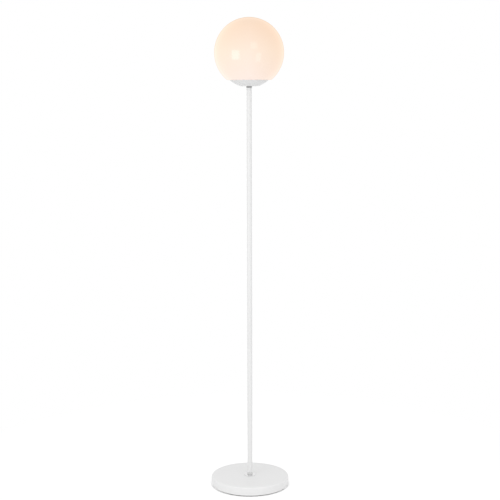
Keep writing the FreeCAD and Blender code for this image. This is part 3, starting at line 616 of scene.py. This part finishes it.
def thread_tree():
    """A round thread: a ridge that climbs round the upright axis."""
    tree, given, result = geometry_tree("round thread", {
        "Turns": "NodeSocketFloat", "Pitch": "NodeSocketFloat", "Radius": "NodeSocketFloat",
        "Ridge": "NodeSocketFloat", "Height": "NodeSocketFloat", "Material": "NodeSocketMaterial",
    })
    rise = maths(tree, "MULTIPLY", given["Turns"], given["Pitch"])
    spiral = add(tree, "GeometryNodeCurveSpiral", {
        "Resolution": TURN_POINTS, "Rotations": given["Turns"], "Start Radius": given["Radius"],
        "End Radius": given["Radius"], "Height": rise,
    })
    section = add(tree, "GeometryNodeCurvePrimitiveCircle", {
        "Resolution": RIDGE_SIDES, "Radius": given["Ridge"],
    })
    ridge = add(tree, "GeometryNodeCurveToMesh", {
        "Curve": spiral.outputs[0], "Profile Curve": section.outputs[0], "Fill Caps": True,
    })
    placed = add(tree, "GeometryNodeTransform", {
        "Geometry": ridge.outputs[0], "Translation": upright(tree, given["Height"]),
    })
    close_tree(tree, given, result, placed.outputs[0])
    return tree


RING = ring_tree()
THREAD = thread_tree()


def grown(name, tree, values, slot, body, nodes=()):
    """A piece made by a Geometry Nodes tree with these values in its inputs."""
    piece = link(name, bpy.data.meshes.new(name))
    modifier = piece.modifiers.new("grown", "NODES")
    modifier.node_group = tree
    for item in tree.interface.items_tree:
        if item.in_out == "INPUT":
            modifier[item.identifier] = values[item.name]
    bake(piece)
    dress(piece, slot, body, nodes)


# ---------------------------------------------------------------- base

COVER_WALL = 1.2 * MM
COVER_EDGE = 5 * MM
EDGE_STEPS = 10
SMALL_EASE = 0.4 * MM
PAD_WIDTH = 20 * MM

# the hole in the cover for the cable gland, and the drill that makes it
gland_low, gland_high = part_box("cable_gland")
GLAND_HEIGHT = 0.5 * (gland_low.z + gland_high.z)
GLAND_HOLE_RADIUS = 5.6 * MM
DRILL_LENGTH = 20 * MM
DRILL_SIDES = 48

# the holes round the threaded rod of the base and round the nipple of the head
ROD_GAP = 0.15 * MM
rod_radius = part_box("base_rod")[1].x + ROD_GAP
nipple_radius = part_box("head_nipple")[1].x + ROD_GAP


def quarter(centre_radius, centre_height, radius):
    """A quarter circle of points (radius, height), from its outermost one to its top."""
    points = []
    for step in range(EDGE_STEPS + 1):
        angle = 0.5 * math.pi * step / EDGE_STEPS
        points.append((centre_radius + radius * math.cos(angle), centre_height + radius * math.sin(angle)))
    return points


def base_cover():
    """The pressed cover with its rounded edge and the gland's hole in the rear."""
    low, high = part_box("base_cover")
    edge_radius = high.x - COVER_EDGE
    edge_height = high.z - COVER_EDGE
    inner = quarter(edge_radius, edge_height, COVER_EDGE - COVER_WALL)
    outline = [(high.x, low.z)]
    outline += quarter(edge_radius, edge_height, COVER_EDGE)
    outline += [(rod_radius, high.z), (rod_radius, high.z - COVER_WALL)]
    outline += list(reversed(inner))
    outline += [(high.x - COVER_WALL, low.z)]
    piece = link("base_cover_fine", mesh_of("base_cover", lathe(outline, SIDES["base_cover"])))
    drill = bmesh.new()
    bmesh.ops.create_cone(
        drill, cap_ends=True, segments=DRILL_SIDES,
        radius1=GLAND_HOLE_RADIUS, radius2=GLAND_HOLE_RADIUS, depth=DRILL_LENGTH,
    )
    drill.transform(Matrix.Translation((0.0, high.y, GLAND_HEIGHT)) @ Matrix.Rotation(math.pi / 2, 4, "X"))
    cut(piece, link("gland_hole", mesh_of("gland_hole", drill)))
    dress(piece, "white_paint", "stand", ["base_cover"])


base_cover()

pad_low, pad_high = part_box("foot_pad")
pad_outline = band(pad_high.x - PAD_WIDTH, pad_high.x, pad_low.z, pad_high.z)
turned("foot_pad", "foam", eased(pad_outline, SMALL_EASE))

washer_low, washer_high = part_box("foot_washer")
washer_outline = band(rod_radius, washer_high.x, washer_low.z, washer_high.z)
turned("foot_washer", "chrome", eased(washer_outline, SMALL_EASE))

nut("foot_nut", "chrome", rod_radius)
nut("collar_nut", "dark_nickel", nipple_radius)


# a pan-head screw of the bottom plate, head down, and the cross recess in its head
SCREW_COUNT = 4
HEAD_RADIUS = 4 * MM
HEAD_HEIGHT = 2.2 * MM
HEAD_DOME = [(0.0, 0.0), (1.6 * MM, 0.0), (3.1 * MM, 0.35 * MM), (HEAD_RADIUS, 1.3 * MM)]
SHANK_RADIUS = 1.45 * MM
SHANK_TIP = 1 * MM
SCREW_EASE = 0.25 * MM
RECESS_LENGTH = 3.6 * MM
RECESS_WIDTH = 0.8 * MM
RECESS_DEPTH = 1.3 * MM
RECESS_TAPER = 0.5


def plate_screws():
    """The screws in a ring under the base."""
    low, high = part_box("bottom_plate_screws")
    length = high.z - low.z
    shank = [(SHANK_RADIUS, HEAD_HEIGHT), (SHANK_RADIUS, length - SHANK_TIP), (0.0, length)]
    outline = eased(HEAD_DOME + [(HEAD_RADIUS, HEAD_HEIGHT)] + shank, SCREW_EASE)
    turned_screw = lathe(outline, SIDES["bottom_plate_screws"])
    source = link("screw_source", mesh_of("screw_source", turned_screw))
    for turn in (0.0, math.pi / 2):
        arm = bmesh.new()
        bmesh.ops.create_cube(arm, size=1.0)
        arm_size = Matrix.Diagonal((RECESS_LENGTH, RECESS_WIDTH, 2 * RECESS_DEPTH, 1.0))
        arm.transform(Matrix.Rotation(turn, 4, "Z") @ arm_size)
        tips = [vert for vert in arm.verts if vert.co.z > 0]
        bmesh.ops.scale(arm, vec=(RECESS_TAPER, RECESS_TAPER, 1.0), verts=tips)
        cut(source, link("recess_arm", mesh_of("recess_arm", arm)))
    source.data.materials.clear()
    grown("bottom_plate_screws_fine", RING, {
        "Count": SCREW_COUNT, "Radius": math.hypot(high.x - HEAD_RADIUS, high.y - HEAD_RADIUS),
        "Height": low.z, "First angle": math.pi / SCREW_COUNT,
        "Source": source, "Material": FINISHES["zinc_steel"],
    }, "zinc_steel", "stand", ["bottom_plate_screws"])
    remove(source)


plate_screws()

# ---------------------------------------------------------------- pole

TUBE_BORE = 6.8 * MM
TUBE_EASE = 0.15 * MM
for tube_node in NODES_OF["pole_white_painted_shade"]:
    tube_low, tube_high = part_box(tube_node)
    tube_outline = band(TUBE_BORE, tube_high.x, tube_low.z, tube_high.z)
    tube = turned(tube_node, "white_paint", eased(tube_outline, TUBE_EASE))
    # painted shade: the tubes take the darker copy of the white paint
    tube.data.materials[0] = FINISHES["pole_white_painted_shade"]

# ---------------------------------------------------------------- head

# the cup is the lower slice of a hollow ball
CUP_BALL = 90.677 * MM
CUP_WALL = 1.2 * MM
CUP_STEPS = 16
cup_low, cup_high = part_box("gallery_cup")
CUP_CENTRE = cup_high.z + math.sqrt(CUP_BALL ** 2 - cup_high.x ** 2)
cup_start = math.acos((CUP_CENTRE - cup_low.z) / CUP_BALL)
cup_end = math.asin(cup_high.x / CUP_BALL)
cup_inner = CUP_BALL - CUP_WALL
inner_start = math.acos((CUP_CENTRE - cup_low.z - CUP_WALL) / cup_inner)
inner_end = math.acos((CUP_CENTRE - cup_high.z + CUP_WALL) / cup_inner)
inner_arc = arc(cup_inner, CUP_CENTRE, inner_start, inner_end, CUP_STEPS)
# painted shade: the cup takes the darker copy of the white paint
turned("gallery_cup", "cup_paint", eased(
    [(nipple_radius, cup_low.z)]
    + arc(CUP_BALL, CUP_CENTRE, cup_start, cup_end, CUP_STEPS)
    + [(inner_arc[-1][0], cup_high.z)]
    + list(reversed(inner_arc))
    + [(nipple_radius, cup_low.z + CUP_WALL)],
    SMALL_EASE,
))

# the ball of the globe starts at its flat seat on the gasket, round the neck
GLASS_WALL = 2.8 * MM
GLASS_EASE = 2.6 * MM
GLASS_STEPS = 72
NECK_RADIUS = 42.5 * MM
GLASS_SEAT = 1301 * MM
shoulder = math.acos((GLOBE_CENTRE - GLASS_SEAT) / GLOBE_RADIUS)
glass_inner = GLOBE_RADIUS - GLASS_WALL
inner_shoulder = math.acos((GLOBE_CENTRE - GLASS_SEAT - GLASS_WALL) / glass_inner)
turned("globe", "opal_glass", eased(
    [(NECK_RADIUS - GLASS_WALL, globe_low.z), (NECK_RADIUS, globe_low.z), (NECK_RADIUS, GLASS_SEAT)]
    + arc(GLOBE_RADIUS, GLOBE_CENTRE, shoulder, math.pi, GLASS_STEPS)
    + list(reversed(arc(glass_inner, GLOBE_CENTRE, inner_shoulder, math.pi, GLASS_STEPS)))
    + [(NECK_RADIUS - GLASS_WALL, GLASS_SEAT + GLASS_WALL)],
    GLASS_EASE,
), body="globe")

# ---------------------------------------------------------------- lampholder

# the grip ribs stand out of the shell's ring and are sunk in it
RIB_COUNT = 36
RIB_WIDTH = 1.3 * MM
RIB_OUT = 0.4 * MM
RIB_SUNK = 0.5 * MM
RIB_END_GAP = 2.5 * MM
RIB_ROUNDING = 0.3 * RIB_WIDTH
RIB_ROUNDING_STEPS = 2

# the shell: radii of its ring, its mouth, its bore and the spigot in the cap, and where the bore steps in
holder_low, holder_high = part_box("lampholder_shell")
cap_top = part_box("lampholder_cap")[1].z
HOLDER_RADIUS = holder_high.x - RIB_OUT
HOLDER_MOUTH = 15.4 * MM
HOLDER_BORE = 17.4 * MM
HOLDER_SPIGOT = 18.35 * MM
HOLDER_STEP = holder_low.z + 11.3 * MM
HOLDER_EASE = 0.8 * MM
turned("lampholder_shell", "holder_plastic", eased([
    (HOLDER_BORE, holder_low.z), (HOLDER_SPIGOT, holder_low.z), (HOLDER_SPIGOT, cap_top),
    (HOLDER_RADIUS, cap_top), (HOLDER_RADIUS, holder_high.z), (HOLDER_MOUTH, holder_high.z),
    (HOLDER_MOUTH, HOLDER_STEP), (HOLDER_BORE, HOLDER_STEP),
], HOLDER_EASE))


def grip_ribs():
    """The upright ribs round the lampholder's ring, for a hand to turn it by."""
    length = holder_high.z - cap_top - 2 * RIB_END_GAP
    bar = bmesh.new()
    bmesh.ops.create_cube(bar, size=1.0)
    bar.transform(Matrix.Diagonal((RIB_OUT + RIB_SUNK, RIB_WIDTH, length, 1.0)))
    bmesh.ops.bevel(
        bar, geom=bar.edges[:], offset=RIB_ROUNDING, segments=RIB_ROUNDING_STEPS, profile=0.5,
        affect="EDGES",
    )
    source = link("rib_source", mesh_of("rib_source", bar))
    grown("lampholder_ribs", RING, {
        "Count": RIB_COUNT, "Radius": HOLDER_RADIUS + 0.5 * (RIB_OUT - RIB_SUNK),
        "Height": 0.5 * (cap_top + holder_high.z), "First angle": 0.0,
        "Source": source, "Material": FINISHES["holder_plastic"],
    }, "holder_plastic", "stand")
    remove(source)


grip_ribs()

# ---------------------------------------------------------------- bulb

# the cap is rolled sheet with a round thread of seven turns to the inch
CAP_WALL = 0.3 * MM
CAP_EASE = 0.2 * MM
THREAD_DEPTH = 0.75 * MM
THREAD_PITCH = 25.4 / 7 * MM
THREAD_TURNS = 4.25
THREAD_START = 2.5 * MM
RIDGE = 0.9 * MM
cap_low, cap_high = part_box("bulb_cap")
cap_core = cap_high.x - THREAD_DEPTH
cap_outline = band(cap_core - CAP_WALL, cap_core, cap_low.z, cap_high.z)
turned("bulb_cap", "cap_metal", eased(cap_outline, CAP_EASE), body="bulb")
grown("bulb_thread", THREAD, {
    "Turns": THREAD_TURNS, "Pitch": THREAD_PITCH, "Radius": cap_high.x - RIDGE, "Ridge": RIDGE,
    "Height": cap_low.z + THREAD_START, "Material": FINISHES["cap_metal"],
}, "cap_metal", "bulb")

# ---------------------------------------------------------------- finishes of the CAD nodes

for slot_name, node_names in NODES_OF.items():
    for node_name in node_names:
        cad_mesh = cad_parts[node_name].data
        cad_mesh.materials.clear()
        cad_mesh.materials.append(FINISHES[slot_name])

# ---------------------------------------------------------------- light, floor and camera

scene = bpy.context.scene
scene.view_settings.view_transform = "Standard"


def seen_directly(tree):
    """1 for rays from the camera and for reflected and refracted ones, 0 for those that light things."""
    path = add(tree, "ShaderNodeLightPath").outputs
    either = maths(tree, "MAXIMUM", path["Is Camera Ray"], path["Is Glossy Ray"])
    return maths(tree, "MAXIMUM", either, path["Is Transmission Ray"])


AMBIENT = 0.825


def white_studio():
    """A world that lights the lamp evenly and is itself seen as white."""
    world = bpy.data.worlds.new("white studio")
    world.use_nodes = True
    tree = world.node_tree
    tree.nodes.clear()
    soft = add(tree, "ShaderNodeBackground", {"Color": grey(AMBIENT) + (1.0,)})
    white = add(tree, "ShaderNodeBackground", {"Color": WHITE})
    both = add(
        tree, "ShaderNodeMixShader", {0: seen_directly(tree), 1: soft.outputs[0], 2: white.outputs[0]}
    )
    add(tree, "ShaderNodeOutputWorld", {"Surface": both.outputs[0]})
    return world


scene.world = white_studio()

# the floor lies a hair below the lamp, so that the two don't share a surface
FLOOR_RADIUS = 9.0
FLOOR_SIDES = 64
FLOOR_DROP = 0.2 * MM

# how far from the axis the floor fades to white, the greys that light the lamp and take its shadow,
# and the glow that lifts the shadow
FADE_START = 0.3
FADE_END = 1.1
FLOOR_BOUNCE = 0.77
FLOOR_SHADED = 0.92
FLOOR_GLOW = 0.26


def floor_finish():
    """A pale floor that keeps the lamp's soft shadow close to the base and is pure white further off."""
    material = bpy.data.materials.new("studio_floor")
    material.use_nodes = True
    tree = material.node_tree
    tree.nodes.clear()
    place = add(tree, "ShaderNodeTexCoord").outputs["Object"]
    distance = add(tree, "ShaderNodeVectorMath", {0: place}, operation="LENGTH").outputs["Value"]
    fade = add(
        tree, "ShaderNodeMapRange", {"Value": distance, "From Min": FADE_START, "From Max": FADE_END}
    )
    plain = add(tree, "ShaderNodeBsdfDiffuse", {"Color": grey(FLOOR_BOUNCE) + (1.0,)})
    shaded = add(tree, "ShaderNodeBsdfDiffuse", {"Color": grey(FLOOR_SHADED) + (1.0,)})
    glow = add(tree, "ShaderNodeEmission", {"Color": WHITE, "Strength": FLOOR_GLOW})
    near = add(tree, "ShaderNodeAddShader", {0: shaded.outputs[0], 1: glow.outputs[0]})
    far = add(tree, "ShaderNodeEmission", {"Color": WHITE, "Strength": 1.0})
    look = add(
        tree, "ShaderNodeMixShader", {0: fade.outputs["Result"], 1: near.outputs[0], 2: far.outputs[0]}
    )
    both = add(
        tree, "ShaderNodeMixShader", {0: seen_directly(tree), 1: plain.outputs[0], 2: look.outputs[0]}
    )
    add(tree, "ShaderNodeOutputMaterial", {"Surface": both.outputs[0]})
    return material


floor_disc = bmesh.new()
bmesh.ops.create_circle(floor_disc, cap_ends=True, segments=FLOOR_SIDES, radius=FLOOR_RADIUS)
floor = link("studio_floor", mesh_of("studio_floor", floor_disc))
floor.location.z = -FLOOR_DROP
floor.data.materials.append(floor_finish())


LIGHT_DISTANCE = 2.2


def softbox(name, azimuth, elevation, width, height, radiance, reflected=True):
    """A soft light, placed by its direction from the globe in degrees: azimuth 0 is toward the camera.
    One that isn't reflected leaves no highlight."""
    light = bpy.data.lights.new(name, "AREA")
    light.shape = "RECTANGLE"
    light.size = width
    light.size_y = height
    light.energy = radiance * math.pi * width * height
    made = link(name, light)
    around = math.radians(azimuth)
    up = math.radians(elevation)
    offset = LIGHT_DISTANCE * Vector((
        math.cos(up) * math.sin(around), -math.cos(up) * math.cos(around), math.sin(up)
    ))
    made.location = Vector((0.0, 0.0, GLOBE_CENTRE)) + offset
    made.rotation_euler = (-offset).to_track_quat("-Z", "Y").to_euler()
    made.visible_camera = False
    made.visible_glossy = reflected


softbox("left_softbox", -45, -8, 1.05, 1.05, 2.5)
softbox("right_softbox", 31, -16, 0.57, 1.03, 1.2)
softbox("upper_softbox", 16, 21, 0.8, 0.8, 1.1)
softbox("front_fill", -20, -20, 1.6, 0.95, 1.0, reflected=False)
softbox("low_fill", 66, -32, 1.0, 0.4, 3.0, reflected=False)

# the camera of the photo, fitted to the lamp's outline in it
CAMERA_PLACE = (1.53 * MM, -3.514, 1.262)
CAMERA_PITCH = math.radians(8.0)
CAMERA_ROLL = math.radians(-0.12)
CAMERA_LENS = 80.64
SENSOR_WIDTH = 36.0
camera_data = bpy.data.cameras.new("camera")
camera_data.sensor_width = SENSOR_WIDTH
camera_data.lens = CAMERA_LENS
camera = link("camera", camera_data)
camera.location = CAMERA_PLACE
facing = Matrix.Rotation(math.pi / 2 - CAMERA_PITCH, 3, "X") @ Matrix.Rotation(CAMERA_ROLL, 3, "Z")
camera.rotation_euler = facing.to_euler()
scene.camera = camera


def plain(corners):
    return [list(corner) for corner in corners]
